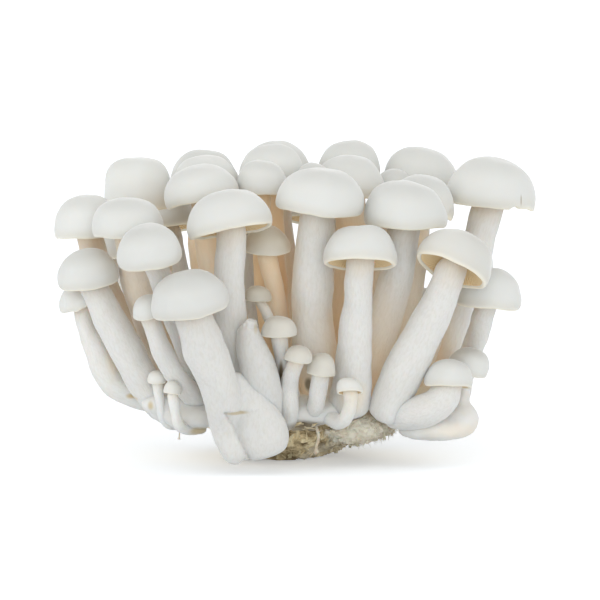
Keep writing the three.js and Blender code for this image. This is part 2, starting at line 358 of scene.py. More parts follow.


# marks on the skin: place, size along x, y and z, how strong, which colour; ochre stains, and painted
# shade in gaps, under folds and behind stems
skinSpots = [
    ((-0.0420, -0.014, 0.0170), (0.0022, 0.008, 0.0011), 0.90, "ochreStainAndShade"),    # foot of the drooping stem
    ((-0.0372, -0.018, 0.0160), (0.0011, 0.008, 0.0016), 0.70, "ochreStainAndShade"),    # left edge of the butt
    ((-0.0250, -0.022, 0.0098), (0.0036, 0.010, 0.0016), 0.70, "ochreStainAndShade"),
    ((-0.0110, -0.031, 0.0368), (0.0007, 0.006, 0.0018), 0.40, "ochreStainAndShade"),    # the torn end
    ((-0.0156, -0.035, 0.0161), (0.0036, 0.006, 0.0007), 0.65, "ochreStainAndShade"),    # shaded skin under the ledge
    ((-0.0156, -0.035, 0.0278), (0.0008, 0.006, 0.0005), 0.85, "ochreStainAndShade"),    # a nick beside the torn stem
    ((-0.0065, -0.031, 0.0042), (0.0030, 0.006, 0.0008), 0.45, "ochreStainAndShade"),    # the cut at the lobe's end
    ((-0.0047, -0.025, 0.0254), (0.0008, 0.006, 0.0046), 0.95, "shadow"),    # gaps between the buttons
    # painted shade in a gap behind the buttons, in ochre
    ((-0.0068, -0.010, 0.0290), (0.0016, 0.006, 0.0068), 0.60, "ochreStainAndShade"),
    ((0.0021, -0.017, 0.0209), (0.0013, 0.006, 0.0023), 0.95, "shadow"),
    ((0.0014, -0.0205, 0.0104), (0.0072, 0.011, 0.0028), 0.95, "shadow"),    # hollow under the buttons
    ((0.0390, -0.017, 0.0096), (0.0120, 0.012, 0.0032), 0.35, "warmShade"),    # painted warm shade under the folds at the right
    ((0.0130, -0.024, 0.0190), (0.0050, 0.012, 0.0060), 0.45, "warmShade"),    # painted warm shade at the foot of the low middle stem
    ((-0.0468, -0.007, 0.0262), (0.0026, 0.010, 0.0075), 0.40, "warmShade"),    # painted warm shade on the inside of the drooping stem
    ((-0.0045, -0.003, 0.0440), (0.0060, 0.014, 0.0170), 0.65, "deepShadeTan"),    # painted deep shade behind the tall stems
]


def warmShadeOf(finish):    # where painted warm shade and painted glow go: 1 in the middle of the bunch, 0 at its outside
    x, y, z = finish.split(finish.place())
    (centreX, centreY), (reachX, reachY) = flesh["warmShadeCentre"], flesh["warmShadeReach"]
    across = (x - centreX) / reachX
    deep = (y - centreY) / reachY
    outward = (across * across + deep * deep) ** 0.5
    return (finish.ramp(outward, *flesh["warmShadeFade"], 1.0, 0.0)
            * finish.ramp(z, *flesh["warmShadeTop"], 1.0, 0.0))


def fleshGlow(finish, glow, roughness):
    finish.set(Subsurface_Weight=flesh[glow], Subsurface_Radius=flesh["glowTint"],
               Subsurface_Scale=flesh["glowDepth"], Roughness=roughness,
               Specular_IOR_Level=flesh["shine"], Sheen_Weight=flesh["fuzz"],
               Sheen_Roughness=flesh["fuzzSpread"])


def paintedGlow(finish, share):    # painted glow: the flesh gives off light by itself; share is how much of it a place gets
    light = finish.shaded(flesh["paintedGlowColour"], share)
    finish.set(Emission_Color=light, Emission_Strength=flesh["inner"])


def spotted(finish, place, skin):
    for centre, size, share, colour in skinSpots:
        skin = finish.mix(finish.mark(place, centre, size) * share, skin, flesh[colour])
    return skin


def capSkin():
    finish = Finish("capSkin")
    place = finish.place()
    level = finish.height(finish.kept("capPlace"))
    mottle = finish.noise(place, flesh["capMottle"], 4)
    grain = finish.noise(place, flesh["capGrain"], 3, 0.6)
    # painted shade on the cap's top, mottled
    top = finish.ramp(level, *flesh["capTopShadeBand"])
    skin = finish.mix(top * (0.45 + 0.55 * mottle), flesh["cap"], flesh["capTopShade"])
    # cream of young caps and painted warm shade on hidden ones
    skin = finish.mix(finish.number("warmth"), skin, flesh["capWarm"])
    skin = finish.mix(finish.ramp(level, *flesh["capLowBand"], 0.55, 0.0), skin, flesh["capLow"])
    skin = finish.mix(finish.ramp(level, *flesh["capLipBand"], 0.9, 0.0), skin, flesh["capLip"])
    # painted warm shade in the middle of the bunch
    skin = finish.mix(warmShadeOf(finish) * 0.6, skin, flesh["warmShade"])
    slit = finish.mark(place, flesh["crackPlace"], flesh["crackSize"])
    skin = finish.mix(slit * 0.9, skin, flesh["crack"])
    finish.set(Base_Color=finish.shaded(skin, finish.number("tone")))
    finish.bump(mottle * 0.6 + grain * 0.2, 0.0003, 0.5)
    # painted glow along the lip
    paintedGlow(finish, finish.ramp(level, *flesh["lipGlowBand"], flesh["lipGlow"], 0.0))
    fleshGlow(finish, "capGlow", 0.5)
    return finish.material


def gillFlesh():
    finish = Finish("gillFlesh")
    level = finish.height(finish.kept("capPlace"))
    edge = finish.ramp(level, *flesh["gillEdgeBand"], 1.0, 0.0)
    colour = finish.mix(edge, flesh["gills"], flesh["gillEdge"])
    # the gills also give off painted glow in their own colour
    finish.set(Base_Color=colour, Emission_Color=colour, Emission_Strength=flesh["inner"])
    fleshGlow(finish, "stemGlow", 0.7)
    return finish.material


def stemFlesh():
    finish = Finish("stemFlesh")
    place = finish.place()
    stemPlace = finish.kept("stemPlace")
    fibre = finish.noise(finish.stretched(stemPlace, flesh["stemStretch"]), flesh["stemStreaks"], 5, 0.6)
    mottle = finish.noise(place, flesh["stemMottle"], 3)
    streak = finish.ramp(fibre, 0.40, 0.70)
    skin = finish.mix(streak * 0.55 + mottle * 0.2, flesh["stem"], flesh["stemFibre"])
    # painted warm shade in the middle of the bunch, in patches
    warmShade = warmShadeOf(finish)
    patch = finish.noise(finish.stretched(place, (1.0, 1.0, 0.5)), flesh["patch"], 2)
    patchy = finish.ramp(patch, 0.35, 0.65, 0.45, 1.0)
    inside = finish.mix(finish.ramp(patch, 0.42, 0.66), flesh["warmShade"], flesh["warmShadePatch"])
    skin = finish.mix(warmShade * patchy, skin, inside)
    # painted warm shade on stems that stand in the shade of others
    skin = finish.mix(finish.number("tan") * finish.ramp(patch, 0.3, 0.7, 0.7, 1.0), skin, flesh["tan"])
    # painted warm shade just under the cap, in the gills' colour
    neck = finish.ramp(finish.height(stemPlace), *flesh["stemNeckShadeBand"], 0.0, 0.28)
    skin = finish.mix(neck * patchy, skin, flesh["gills"])
    skin = spotted(finish, place, skin)
    finish.set(Base_Color=finish.shaded(skin, finish.number("tone")))
    finish.bump(fibre + mottle * 0.4, 0.0003, 0.6)
    # painted glow in the middle of the bunch
    paintedGlow(finish, warmShade * patchy)
    fleshGlow(finish, "stemGlow", 0.6)
    return finish.material


def buttFlesh():
    finish = Finish("buttFlesh")
    place = finish.place()
    mottle = finish.noise(place, flesh["buttMottle"], 4)
    grain = finish.noise(finish.stretched(place, (1.0, 1.0, 0.4)), flesh["buttGrain"], 4, 0.6)
    skin = finish.mix(finish.ramp(mottle, 0.40, 0.70), flesh["stem"], flesh["stemFibre"])
    # painted warm shade in the middle of the bunch
    warmShade = warmShadeOf(finish)
    skin = finish.mix(warmShade * 0.9, skin, flesh["warmShade"])
    skin = spotted(finish, place, skin)
    finish.set(Base_Color=skin)
    finish.bump(mottle * 0.8 + grain * 0.4, 0.0005, 0.7)
    # painted glow in the middle of the bunch
    paintedGlow(finish, warmShade)
    fleshGlow(finish, "stemGlow", 0.65)
    return finish.material


soil = {
    "crumb": (0.31, 0.23, 0.125),
    "sawdust": (0.86, 0.71, 0.44),
    "straw": (0.95, 0.86, 0.58),
    "thread": (0.90, 0.84, 0.70),
    "felt": (0.92, 0.85, 0.71),
    "feltStain": (0.68, 0.56, 0.38),
    # how fine the patterns are
    "crumbPatch": 260,
    "crumbGrain": 1400,
    "felted": 120,
    "feltPatch": 180,
    "feltFuzz": 1500,
    "roughness": 0.95,
    "shine": 0.1,
}


def substrateFinish():
    finish = Finish("substrate")
    place = finish.place()
    patch = finish.noise(place, soil["crumbPatch"], 4, 0.6)
    grain = finish.noise(place, soil["crumbGrain"], 4, 0.65)
    felted = finish.noise(place, soil["felted"], 3)
    straw = finish.number("tone") * finish.ramp(grain, 0.3, 0.7, 0.5, 1.0)
    colour = finish.mix(finish.ramp(patch, 0.36, 0.62), soil["crumb"], soil["sawdust"])
    colour = finish.mix(straw, colour, soil["straw"])
    colour = finish.mix(finish.ramp(felted, 0.52, 0.66) * 0.7, colour, soil["thread"])
    finish.set(Base_Color=colour, Roughness=soil["roughness"], Specular_IOR_Level=soil["shine"])
    finish.bump(patch + grain * 0.6, 0.0008, 0.9)
    return finish.material


def feltFinish():
    finish = Finish("felt")
    place = finish.place()
    patch = finish.noise(place, soil["feltPatch"], 4, 0.6)
    fuzz = finish.noise(finish.stretched(place, (0.45, 1.0, 1.0)), soil["feltFuzz"], 5, 0.7)
    colour = finish.mix(finish.ramp(patch, 0.40, 0.68) * 0.85, soil["felt"], soil["feltStain"])
    finish.set(Base_Color=colour, Roughness=soil["roughness"], Specular_IOR_Level=soil["shine"],
               Subsurface_Weight=0.15, Subsurface_Scale=0.0015)
    finish.bump(fuzz + patch * 0.6, 0.0007, 0.9)
    return finish.material


materials = {
    "cap": capSkin(),
    "gills": gillFlesh(),
    "stem": stemFlesh(),
    "butt": buttFlesh(),
    "substrate": substrateFinish(),
    "felt": feltFinish(),
}


def paint(piece, material):
    piece.data.materials.clear()
    piece.data.materials.append(material)


capShape = {
    "sides": 32,
    "roof": 0.845,    # within this radius the underside is the roof between the gills
    # radius and height of each ring, from the roof of the gills over the lip to the top
    "domed": [(0.20, 0.42), (0.48, 0.37), (0.68, 0.28), (0.795, 0.18), (0.845, 0.09), (0.875, 0.025),
              (0.915, 0.0), (0.955, 0.015), (0.985, 0.07), (1.0, 0.16), (0.995, 0.27), (0.955, 0.43),
              (0.865, 0.62), (0.72, 0.79), (0.53, 0.91), (0.31, 0.975), (0.12, 1.0)],
    "button": [(0.20, 0.40), (0.46, 0.33), (0.66, 0.22), (0.78, 0.12), (0.84, 0.04), (0.89, 0.002),
               (0.945, 0.01), (0.99, 0.07), (1.0, 0.16), (0.99, 0.29), (0.95, 0.45), (0.86, 0.63),
               (0.72, 0.79), (0.53, 0.91), (0.31, 0.975), (0.12, 1.0)],
    "cushion": [(0.20, 0.42), (0.48, 0.37), (0.68, 0.28), (0.795, 0.18), (0.845, 0.09), (0.875, 0.025),
                (0.915, 0.0), (0.955, 0.015), (0.985, 0.07), (1.0, 0.16), (0.995, 0.36), (0.955, 0.60),
                (0.85, 0.81), (0.66, 0.93), (0.40, 0.985), (0.14, 1.0)],
}

# All in shares of the cap's radius and height.
gillShape = {
    "count": 64,
    "inner": 0.26,    # where a blade begins, near the stem
    "outer": 0.84,    # where it ends, at the lip
    "thickness": 0.030,
    "edge": 0.6,    # how thick the lower edge is, as a share of that
    "roof": (0.43, 0.34, 2.2),    # upper edge: its height at the stem, its fall, how late it falls
    "hem": (0.30, 0.24, 1.5),    # lower edge, the same way
}

stemShape = {
    "sides": 16,
    "rings": [(0.35, 0.0), (0.72, 0.012), (0.93, 0.035), (1.0, 0.08), (1.0, 0.16), (1.0, 0.28),
              (1.0, 0.40), (1.0, 0.52), (1.0, 0.64), (1.0, 0.76), (1.0, 0.88), (1.0, 1.0)],
    "meltedScale": (200, 200, 22),    # makes the pattern on a melted stem as fine as on the others
}

threadShape = {
    "sides": 5,
    "rings": [(0.5, 0.0), (1.0, 0.1), (1.0, 0.25), (1.0, 0.4), (0.9, 0.55), (0.8, 0.7), (0.6, 0.85),
              (0.25, 1.0)],
}

# A chip of wood, longer than wide, thinner at one end.
chipShape = {
    "size": (1.0, 0.42, 0.18),
    "bevel": 0.05,
    "thinEnd": (0.45, 0.6),    # how wide and how thick the thin end is
    "lift": 0.10,    # how far the thin end is bent up
}


def capMaster(style):
    cap = ringStack("capMaster_" + style, capShape["sides"], capShape[style])
    subdivide(cap, 1)
    keepPlace(cap, "capPlace")
    smooth(cap)
    paint(cap, materials["cap"])
    cap.data.materials.append(materials["gills"])
    for face in cap.data.polygons:    # the roof between the gills has their colour
        inside = Vector(face.center[:2]).length < capShape["roof"]
        if face.normal.z < 0 and inside:
            face.material_index = 1
    return cap


# One gill is a thin blade from the stem to the lip; spinning it fills the cap.
def gillMaster():
    deselectAll()
    inner, outer, count = gillShape["inner"], gillShape["outer"], gillShape["count"]
    bpy.ops.mesh.primitive_cube_add(size=1, location=((inner + outer) / 2, 0, 0.5),
                                    scale=(outer - inner, gillShape["thickness"], 1))
    gill = bpy.context.object
    settle(gill)
    bpy.ops.object.mode_set(mode="EDIT")
    bpy.ops.mesh.select_all(action="SELECT")
    bpy.ops.mesh.subdivide(number_cuts=1)
    bpy.ops.object.mode_set(mode="OBJECT")
    for vertex in gill.data.vertices:    # the lower edge is thin, and both follow the cap's arch
        share = max(0.0, (vertex.co.x - inner) / (outer - inner))
        roof, hem = [high - fall * share ** late
                     for high, fall, late in (gillShape["roof"], gillShape["hem"])]
        level = vertex.co.z
        vertex.co.z = hem + (roof - hem) * level
        vertex.co.y *= gillShape["edge"] + (1 - gillShape["edge"]) * level
    bpy.ops.object.mode_set(mode="EDIT")
    bpy.ops.mesh.select_all(action="SELECT")
    bpy.ops.mesh.spin(steps=count - 1, dupli=True, angle=2 * math.pi * (count - 1) / count,
                      center=(0, 0, 0), axis=(0, 0, 1))
    bpy.ops.mesh.select_all(action="SELECT")
    bpy.ops.mesh.normals_make_consistent(inside=False)
    bpy.ops.object.mode_set(mode="OBJECT")
    keepPlace(gill, "capPlace")
    gill.name = "gillMaster"
    paint(gill, materials["gills"])
    return gill


def stemMaster():
    stem = ringStack("stemMaster", stemShape["sides"], stemShape["rings"])
    subdivide(stem, 2)
    keepPlace(stem, "stemPlace")
    smooth(stem)
    paint(stem, materials["stem"])
    return stem


def threadMaster():
    strand = ringStack("threadMaster", threadShape["sides"], threadShape["rings"])
    smooth(strand)
    return strand


def chipMaster():
    deselectAll()
    bpy.ops.mesh.primitive_cube_add(size=1, scale=chipShape["size"])
    chip = bpy.context.object
    settle(chip)
    bpy.ops.object.mode_set(mode="EDIT")
    bpy.ops.mesh.select_all(action="SELECT")
    bpy.ops.mesh.bevel(offset=chipShape["bevel"], segments=1, affect="EDGES")
    bpy.ops.object.mode_set(mode="OBJECT")
    endWidth, endThickness = chipShape["thinEnd"]
    for vertex in chip.data.vertices:
        if vertex.co.x > 0:
            vertex.co.y *= endWidth
            vertex.co.z = vertex.co.z * endThickness + chipShape["lift"]
    chip.name = "chipMaster"
    return chip


masters = {
    "domed": capMaster("domed"),
    "cushion": capMaster("cushion"),
    "button": capMaster("button"),
    "gills": gillMaster(),
    "stem": stemMaster(),
    "thread": threadMaster(),
    "chip": chipMaster(),
}
print("stage: masters modelled")


mushroomLook = {
    "cushionCaps": ("back_left_high",),
    "roundLips": ("low_right_front", "low_right_side", "left_small", "left_edge_drooping"),
    "usualTone": (0.98, 1.02),    # between these
    # the paler and the greyer ones; the paler ones are painted light, lifted where they sit in shade
    "tones": {"left_edge_high": 1.06, "back_left_high": 1.10, "left_center_middle": 1.06,
              "left_edge_drooping": 1.06, "button_left_outer": 1.14, "button_left_inner": 1.14,
              "button_center_bent": 1.06, "front_low_stout": 0.95},
    # how cream the cap is: young caps are cream, and hidden ones get painted warm shade
    "warmth": {"button": 0.3, "inner_left_low": 0.5, "button_inner": 0.5, "front_right_leaning": 0.12,
               "button_center_bent": 0.05, "button_left_outer": 0.1, "button_left_inner": 0.15},
    # how much painted warm shade the stem has, where it stands in the shade of others
    "tan": {"left_edge_high": 0.35, "left_shoulder": 0.45, "left_center_front": 0.35,
            "inner_left_low": 0.2, "inner_small_cap": 0.9, "center_second": 0.9, "left_inner_low": 0.8,
            "center_inner_low": 0.6, "right_inner_low": 0.4, "back_left_high": 0.3,
            "left_center_middle": 0.5, "left_center_rear": 0.25, "center_left_top": 0.8,
            "center_rear_top": 0.4, "center_right_top": 0.5, "right_rear_top": 0.3,
            "right_inner_small": 0.4},
    # slow bends, small waves in the skin and lumps in the stem: how wide, then how high
    "warpSize": 0.018,
    "warp": 0.0020,
    "waveSize": 0.0055,
    "wave": 0.0005,
    "stemLumpSize": 0.007,
    "stemLumps": 0.0005,
    "intoCap": 0.2,    # how far the stem goes up into its cap, as a share of the cap's height
    # stems whose lower end is bent: up to a height, and the path up to there
    "bentEnds": {
        "left_edge_drooping": (0.0305, [
            ((-0.0340, -0.0065, 0.0150), 0.0028), ((-0.0402, -0.0070, 0.0162), 0.0032),
            ((-0.0455, -0.0076, 0.0193), 0.0035), ((-0.0488, -0.0080, 0.0238), 0.0036),
            ((-0.0510, -0.0080, 0.0283), 0.0032)]),
        "front_low_stout": (0.0150, [
            ((-0.0158, -0.0320, 0.0028), 0.0018), ((-0.0160, -0.0320, 0.0044), 0.0028),
            ((-0.0167, -0.0320, 0.0070), 0.0032), ((-0.0185, -0.0317, 0.0108), 0.0035)]),
        "low_right_front": (0.0198, [
            ((0.0225, -0.0165, 0.0132), 0.0038), ((0.0262, -0.0202, 0.0134), 0.0042),
            ((0.0310, -0.0226, 0.0146), 0.0045), ((0.0348, -0.0232, 0.0170), 0.0043)]),
        "button_center_left": (0.0262, [
            ((-0.0030, -0.0170, 0.0118), 0.0020), ((-0.0030, -0.0215, 0.0128), 0.0024),
            ((-0.0030, -0.0250, 0.0160), 0.0024), ((-0.0026, -0.0262, 0.0215), 0.0023)]),
    },
    # where a rim is chipped or torn: place, reach, move
    "chips": {
        "right_broad": [((0.0540, 0.0050, 0.0618), 0.0020, (0, 0, 0.0010)),
                        ((0.0575, 0.0110, 0.0618), 0.0030, (0.0004, 0, -0.0008))],
        "right_second": [((0.0385, 0.0010, 0.0600), 0.0030, (-0.0008, 0, 0.0012))],
        "left_edge_drooping": [((-0.0590, -0.0090, 0.0400), 0.0024, (0.0012, 0, 0.0010)),
                               ((-0.0555, -0.0120, 0.0380), 0.0020, (0, 0, -0.0010))],
    },
}

# This stem has grown together with the broad lobe beside it, and splits from it again lower down.
fusedStem = {
    "node": "front_low_stout",
    # the lobe's middle line and how wide it is, from its top to its blunt end
    "lobe": [((-0.0195, -0.0318, 0.0250), 0.0036), ((-0.0160, -0.0312, 0.0208), 0.0050),
             ((-0.0132, -0.0306, 0.0165), 0.0062), ((-0.0110, -0.0302, 0.0122), 0.0072),
             ((-0.0092, -0.0297, 0.0080), 0.0070), ((-0.0080, -0.0292, 0.0042), 0.0048)],
    "flatness": 0.70,    # front to back, about this middle
    "middle": -0.0303,
    "voxel": 0.0005,
    "rounds": 10,
    # below the ledge and right of the crease the lobe lies behind the stem
    "crease": {"top": (-0.0192, 0.0166), "bottom": (-0.0130, 0.0050)},
    "step": {"depth": 0.0016, "reach": 0.0100, "front": -0.0290, "fade": 1.5},
}

warpClouds = clouds("warpClouds", mushroomLook["warpSize"], colour=True)
waveClouds = clouds("waveClouds", mushroomLook["waveSize"], colour=True)
stemClouds = clouds("stemClouds", mushroomLook["stemLumpSize"])
feet = []    # where each stem enters the butt, and how thick it is there

# Where to find a CAD mushroom's rings, counted from its top. The stem's come after the gills'.
cadRings = {
    "rim": 2,
    "lip": 3,
    "gills": 4,
    "footTaper": 0.8,    # the stem's last ring is this much of its real thickness
}

buttLook = {
    "bareFeet": ("front_low_stout", "front_right_leaning", "front_center_low", "low_right_front",
                 "left_edge_drooping", "left_edge_stout", "left_small",
                 "button_center_left", "button_center_round", "button_center_bent"),
    "footHeight": 1.2,    # how much taller than wide the lump round a foot is
    # the overlapping lumps of flesh that the butt grew from: place, radii and how far it leans
    "lumps": [
        ((-0.002, 0.002, 0.0115), (0.027, 0.020, 0.0065)),    # middle
        ((0.000, -0.014, 0.0140), (0.017, 0.010, 0.0044)),    # front
        ((0.002, 0.018, 0.0095), (0.021, 0.012, 0.0055)),    # back
        ((-0.029, -0.014, 0.0140), (0.009, 0.008, 0.0040)),    # left
        ((-0.032, -0.005, 0.0145), (0.008, 0.009, 0.0044)),
        ((-0.022, 0.009, 0.0115), (0.013, 0.011, 0.0050)),
        ((0.028, 0.002, 0.0145), (0.013, 0.011, 0.0045)),    # right
        ((0.0335, -0.0120, 0.0125), (0.0090, 0.0075, 0.0038)),
        ((-0.0330, -0.0180, 0.0160), (0.0070, 0.0045, 0.0028)),    # left edge, under the buttons
        ((-0.0265, -0.0210, 0.0135), (0.0078, 0.0046, 0.0034)),
        ((0.0340, -0.0170, 0.0096), (0.0098, 0.0056, 0.0030), -3),    # right edge, in folds
        ((0.0402, -0.0166, 0.0118), (0.0044, 0.0046, 0.0046), 20),
        ((0.0402, -0.0150, 0.0165), (0.0020, 0.0036, 0.0056), 10),
    ],
    "voxel": 0.0008,
    "rounds": 5,
    # the hollow under the buttons: place, reach, move
    "hollow": ((0.0006, -0.0215, 0.0110), 0.0034, (0, 0.0030, 0.0004)),
    # two kinds of unevenness: how wide the lumps are and how high
    "lumpy": (0.008, 0.0012),
    "grain": (0.0022, 0.0004),
}


# The rings of a CAD mushroom from its top down: a list of (centre, radius), with the two end points.
def ringsOf(node):
    mesh = bmesh.new()
    mesh.from_mesh(node.data)
    bmesh.ops.remove_doubles(mesh, verts=mesh.verts, dist=1e-6)
    mesh.verts.index_update()
    # only the two end points join more than six edges
    ends = sorted((v for v in mesh.verts if len(v.link_edges) > 6), key=lambda v: v.co.z)
    top, foot = ends[-1], ends[0]
    seen, ring, rings = {top}, [top], []
    while True:
        around = {e.other_vert(v) for v in ring for e in v.link_edges}
        ring = sorted(around - seen, key=lambda v: v.index)
        seen.update(ring)
        if ring == [foot] or not ring:
            break
        centre = sum((v.co for v in ring), Vector()) / len(ring)
        rings.append((centre, (ring[0].co - centre).length))
    topPlace, footPlace = top.co.copy(), foot.co.copy()
    mesh.free()
    return topPlace, rings, footPlace


def guideCurve(points):    # a smooth curve through (place, radius) points
    curve = bpy.data.curves.new("guide", "CURVE")
    curve.dimensions = "3D"
    curve.resolution_u = 12
    curve.use_radius = True
    spline = curve.splines.new("BEZIER")
    spline.bezier_points.add(len(points) - 1)
    for knot, (place, radius) in zip(spline.bezier_points, points):
        knot.co = place
        knot.radius = radius
        knot.handle_left_type = knot.handle_right_type = "AUTO"
    guide = bpy.data.objects.new("guide", curve)
    bpy.context.scene.collection.objects.link(guide)
    return guide


def alongCurve(part, name, points):    # a copy of a master laid along a curve
    guide = guideCurve(points)
    grown = copyOf(masters[part], name)
    grown.scale = (1, 1, guide.data.splines[0].calc_length())
    settle(grown)
    modify(grown, "CURVE", object=guide, deform_axis="POS_Z")
    remove(guide)
    return grown


def grownStem(name, points):
    stem = alongCurve("stem", name, points)
    roughen(stem, stemClouds, mushroomLook["stemLumps"])
    return stem


def grownCap(name, part, lip, axis, radius, height):
    cap = copyOf(masters[part], name)
    cap.location = lip
    cap.rotation_mode = "QUATERNION"
    cap.rotation_quaternion = Vector((0, 0, 1)).rotation_difference(axis)
    cap.scale = (radius, radius, height)
    settle(cap)
    return cap


def lump(name, place, radii, tilt=0):    # tilt leans its top to the right, in degrees
    deselectAll()
    bpy.ops.mesh.primitive_uv_sphere_add(segments=28, ring_count=16, radius=1, location=place,
                                         scale=radii, rotation=(0, math.radians(tilt), 0))
    piece = bpy.context.object
    piece.name = name
    settle(piece)
    return piece


def finishMelted(stem):    # a melted stem has lost its pattern and material
    keepPlace(stem, "stemPlace", stemShape["meltedScale"])
    smooth(stem)
    paint(stem, materials["stem"])


# The stem and the lobe as one skin, which steps back below the ledge.
def fuse(stem):
    lobe = alongCurve("stem", "lobe", fusedStem["lobe"])
    middle = fusedStem["middle"]
    for vertex in lobe.data.vertices:
        vertex.co.y = middle + (vertex.co.y - middle) * fusedStem["flatness"]
    skin = joined(stem.name, stem, lobe)
    melt(skin, fusedStem["voxel"], fusedStem["rounds"])
    (topX, topZ), (bottomX, bottomZ) = fusedStem["crease"]["top"], fusedStem["crease"]["bottom"]
    step = fusedStem["step"]
    for vertex in skin.data.vertices:
        creaseX = topX + (vertex.co.z - topZ) / (bottomZ - topZ) * (bottomX - topX)
        across = (vertex.co.x - creaseX) / step["reach"]
        if 0 < across < 1 and vertex.co.z < topZ and vertex.co.y < step["front"]:
            vertex.co.y += step["depth"] * (1 - across) ** step["fade"]
    finishMelted(skin)
    return skin


def hand(piece, nodeName):
    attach(piece, "root")
    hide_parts(nodeName)


def toneOf(nodeName):
    return mushroomLook["tones"].get(nodeName) or random.uniform(*mushroomLook["usualTone"])


def warmthOf(nodeName):
    usual = mushroomLook["warmth"]["button"] if nodeName.startswith("button") else 0.0
    return mushroomLook["warmth"].get(nodeName, usual)


def capStyleOf(nodeName):
    if nodeName.startswith("button") or nodeName in mushroomLook["roundLips"]:
        return "button"
    return "cushion" if nodeName in mushroomLook["cushionCaps"] else "domed"


def stemPointsOf(nodeName, rings, foot):    # from the foot up to the cap
    points = rings[:cadRings["gills"]:-1]
    points[0] = (points[0][0], points[0][1] / cadRings["footTaper"])
    if nodeName not in buttLook["bareFeet"]:
        feet.append(points[0])
    bentHeight, path = mushroomLook["bentEnds"].get(nodeName, (0, [(foot, points[0][1])]))
    return [*path, *(ring for ring in points if ring[0].z > bentHeight)]


def grow(nodeName):
    top, rings, foot = ringsOf(cadNodes[nodeName])
    rimRadius, lip = rings[cadRings["rim"]][1], rings[cadRings["lip"]][0]
    height = (top - lip).length
    axis = (top - lip).normalized()
    points = stemPointsOf(nodeName, rings, foot)
    neck, neckRadius = points[-1]
    points.append((neck + axis * height * mushroomLook["intoCap"], neckRadius))
    stem = grownStem(nodeName + "_stem", points)
    if nodeName == fusedStem["node"]:
        stem = fuse(stem)
    pieces = [
        stem,
        grownCap(nodeName + "_cap", capStyleOf(nodeName), lip, axis, rimRadius, height),
        grownCap(nodeName + "_gills", "gills", lip, axis, rimRadius, height),
    ]
    mushroom = joined("mushroom_" + nodeName, *pieces)
    keepNumber(mushroom, "tone", toneOf(nodeName))
    keepNumber(mushroom, "warmth", warmthOf(nodeName))
    keepNumber(mushroom, "tan", mushroomLook["tan"].get(nodeName, 0.0))
    for place, reach, move in mushroomLook["chips"].get(nodeName, ()):
        push(mushroom, place, reach, move)
    warp(mushroom, warpClouds, mushroomLook["warp"])
    warp(mushroom, waveClouds, mushroomLook["wave"])
    hand(mushroom, nodeName)


def cutAway(piece, place, normal):    # cuts off what lies on the normal's side and closes the cut
    pick(piece)
    bpy.ops.object.mode_set(mode="EDIT")
    bpy.ops.mesh.select_all(action="SELECT")
    bpy.ops.mesh.bisect(plane_co=place, plane_no=normal, clear_outer=True, use_fill=True)
    bpy.ops.object.mode_set(mode="OBJECT")


# The cap of this one is gone, and its stem ends in a slanting tear.
tornStem = {
    "node": "broken_stem_front",
    "keepBelow": 0.0280,    # up to here it follows the CAD, then these points: place, radius
    "end": [((-0.0119, -0.0296, 0.0310), 0.0041), ((-0.0129, -0.0296, 0.0362), 0.0028),
            ((-0.0130, -0.0296, 0.0410), 0.0020)],
    "cuts": [((-0.0118, -0.0300, 0.0388), (0.45, -0.10, 0.85)),
             ((-0.0138, -0.0300, 0.0380), (-0.65, 0.20, 0.70))],
    "voxel": 0.0003,
    "rounds": 2,
    "tear": (0.0009, 0.0009),    # how wide the lumps at the torn end are and how high
    "tearFrom": 0.0365,
    "tone": 0.90,
}


def growTorn():
    _, rings, foot = ringsOf(cadNodes[tornStem["node"]])
    rings = rings[::-1]
    points = [(foot, rings[0][1] / cadRings["footTaper"])]
    points += [ring for ring in rings if ring[0].z < tornStem["keepBelow"]]
    stem = grownStem("torn_stem", points + tornStem["end"])
    for place, normal in tornStem["cuts"]:
        cutAway(stem, place, normal)
    melt(stem, tornStem["voxel"], tornStem["rounds"])
    torn = stem.vertex_groups.new(name="tear")
    torn.add([v.index for v in stem.data.vertices if v.co.z > tornStem["tearFrom"]], 1.0, "REPLACE")
    size, strength = tornStem["tear"]
    modify(stem, "DISPLACE", texture=clouds("tearClouds", size), strength=strength, mid_level=0.6,
           texture_coords="LOCAL", vertex_group="tear")
    finishMelted(stem)
    keepNumber(stem, "tone", tornStem["tone"])
    hand(stem, tornStem["node"])
    feet.append(rings[0])


baseNodes = ("butt", "substrate_plug", "mycelium_mat", tornStem["node"])
for nodeName in sorted(cadNodes):
    if nodeName not in baseNodes:
        grow(nodeName)
growTorn()
print("stage: mushrooms grown")


def mergedCopy(nodeName, name):    # a CAD node's mesh as one closed skin
    twin = copyOf(cadNodes[nodeName], name)
    pick(twin)
    bpy.ops.object.mode_set(mode="EDIT")
    bpy.ops.mesh.select_all(action="SELECT")
    bpy.ops.mesh.remove_doubles(threshold=1e-6)
    bpy.ops.object.mode_set(mode="OBJECT")
    return twin


def growButt():
    pieces = [lump("lump", *shape) for shape in buttLook["lumps"]]
    for place, radius in feet:
        pieces.append(lump("foot", place, (radius, radius, radius * buttLook["footHeight"])))
    butt = joined("butt_flesh", *pieces)
    melt(butt, buttLook["voxel"], buttLook["rounds"])
    uneven(butt, "buttClouds", *buttLook["lumpy"])
    uneven(butt, "buttGrain", *buttLook["grain"])
    push(butt, *buttLook["hollow"])
    smooth(butt)
    paint(butt, materials["butt"])
    hand(butt, "butt")
    return butt


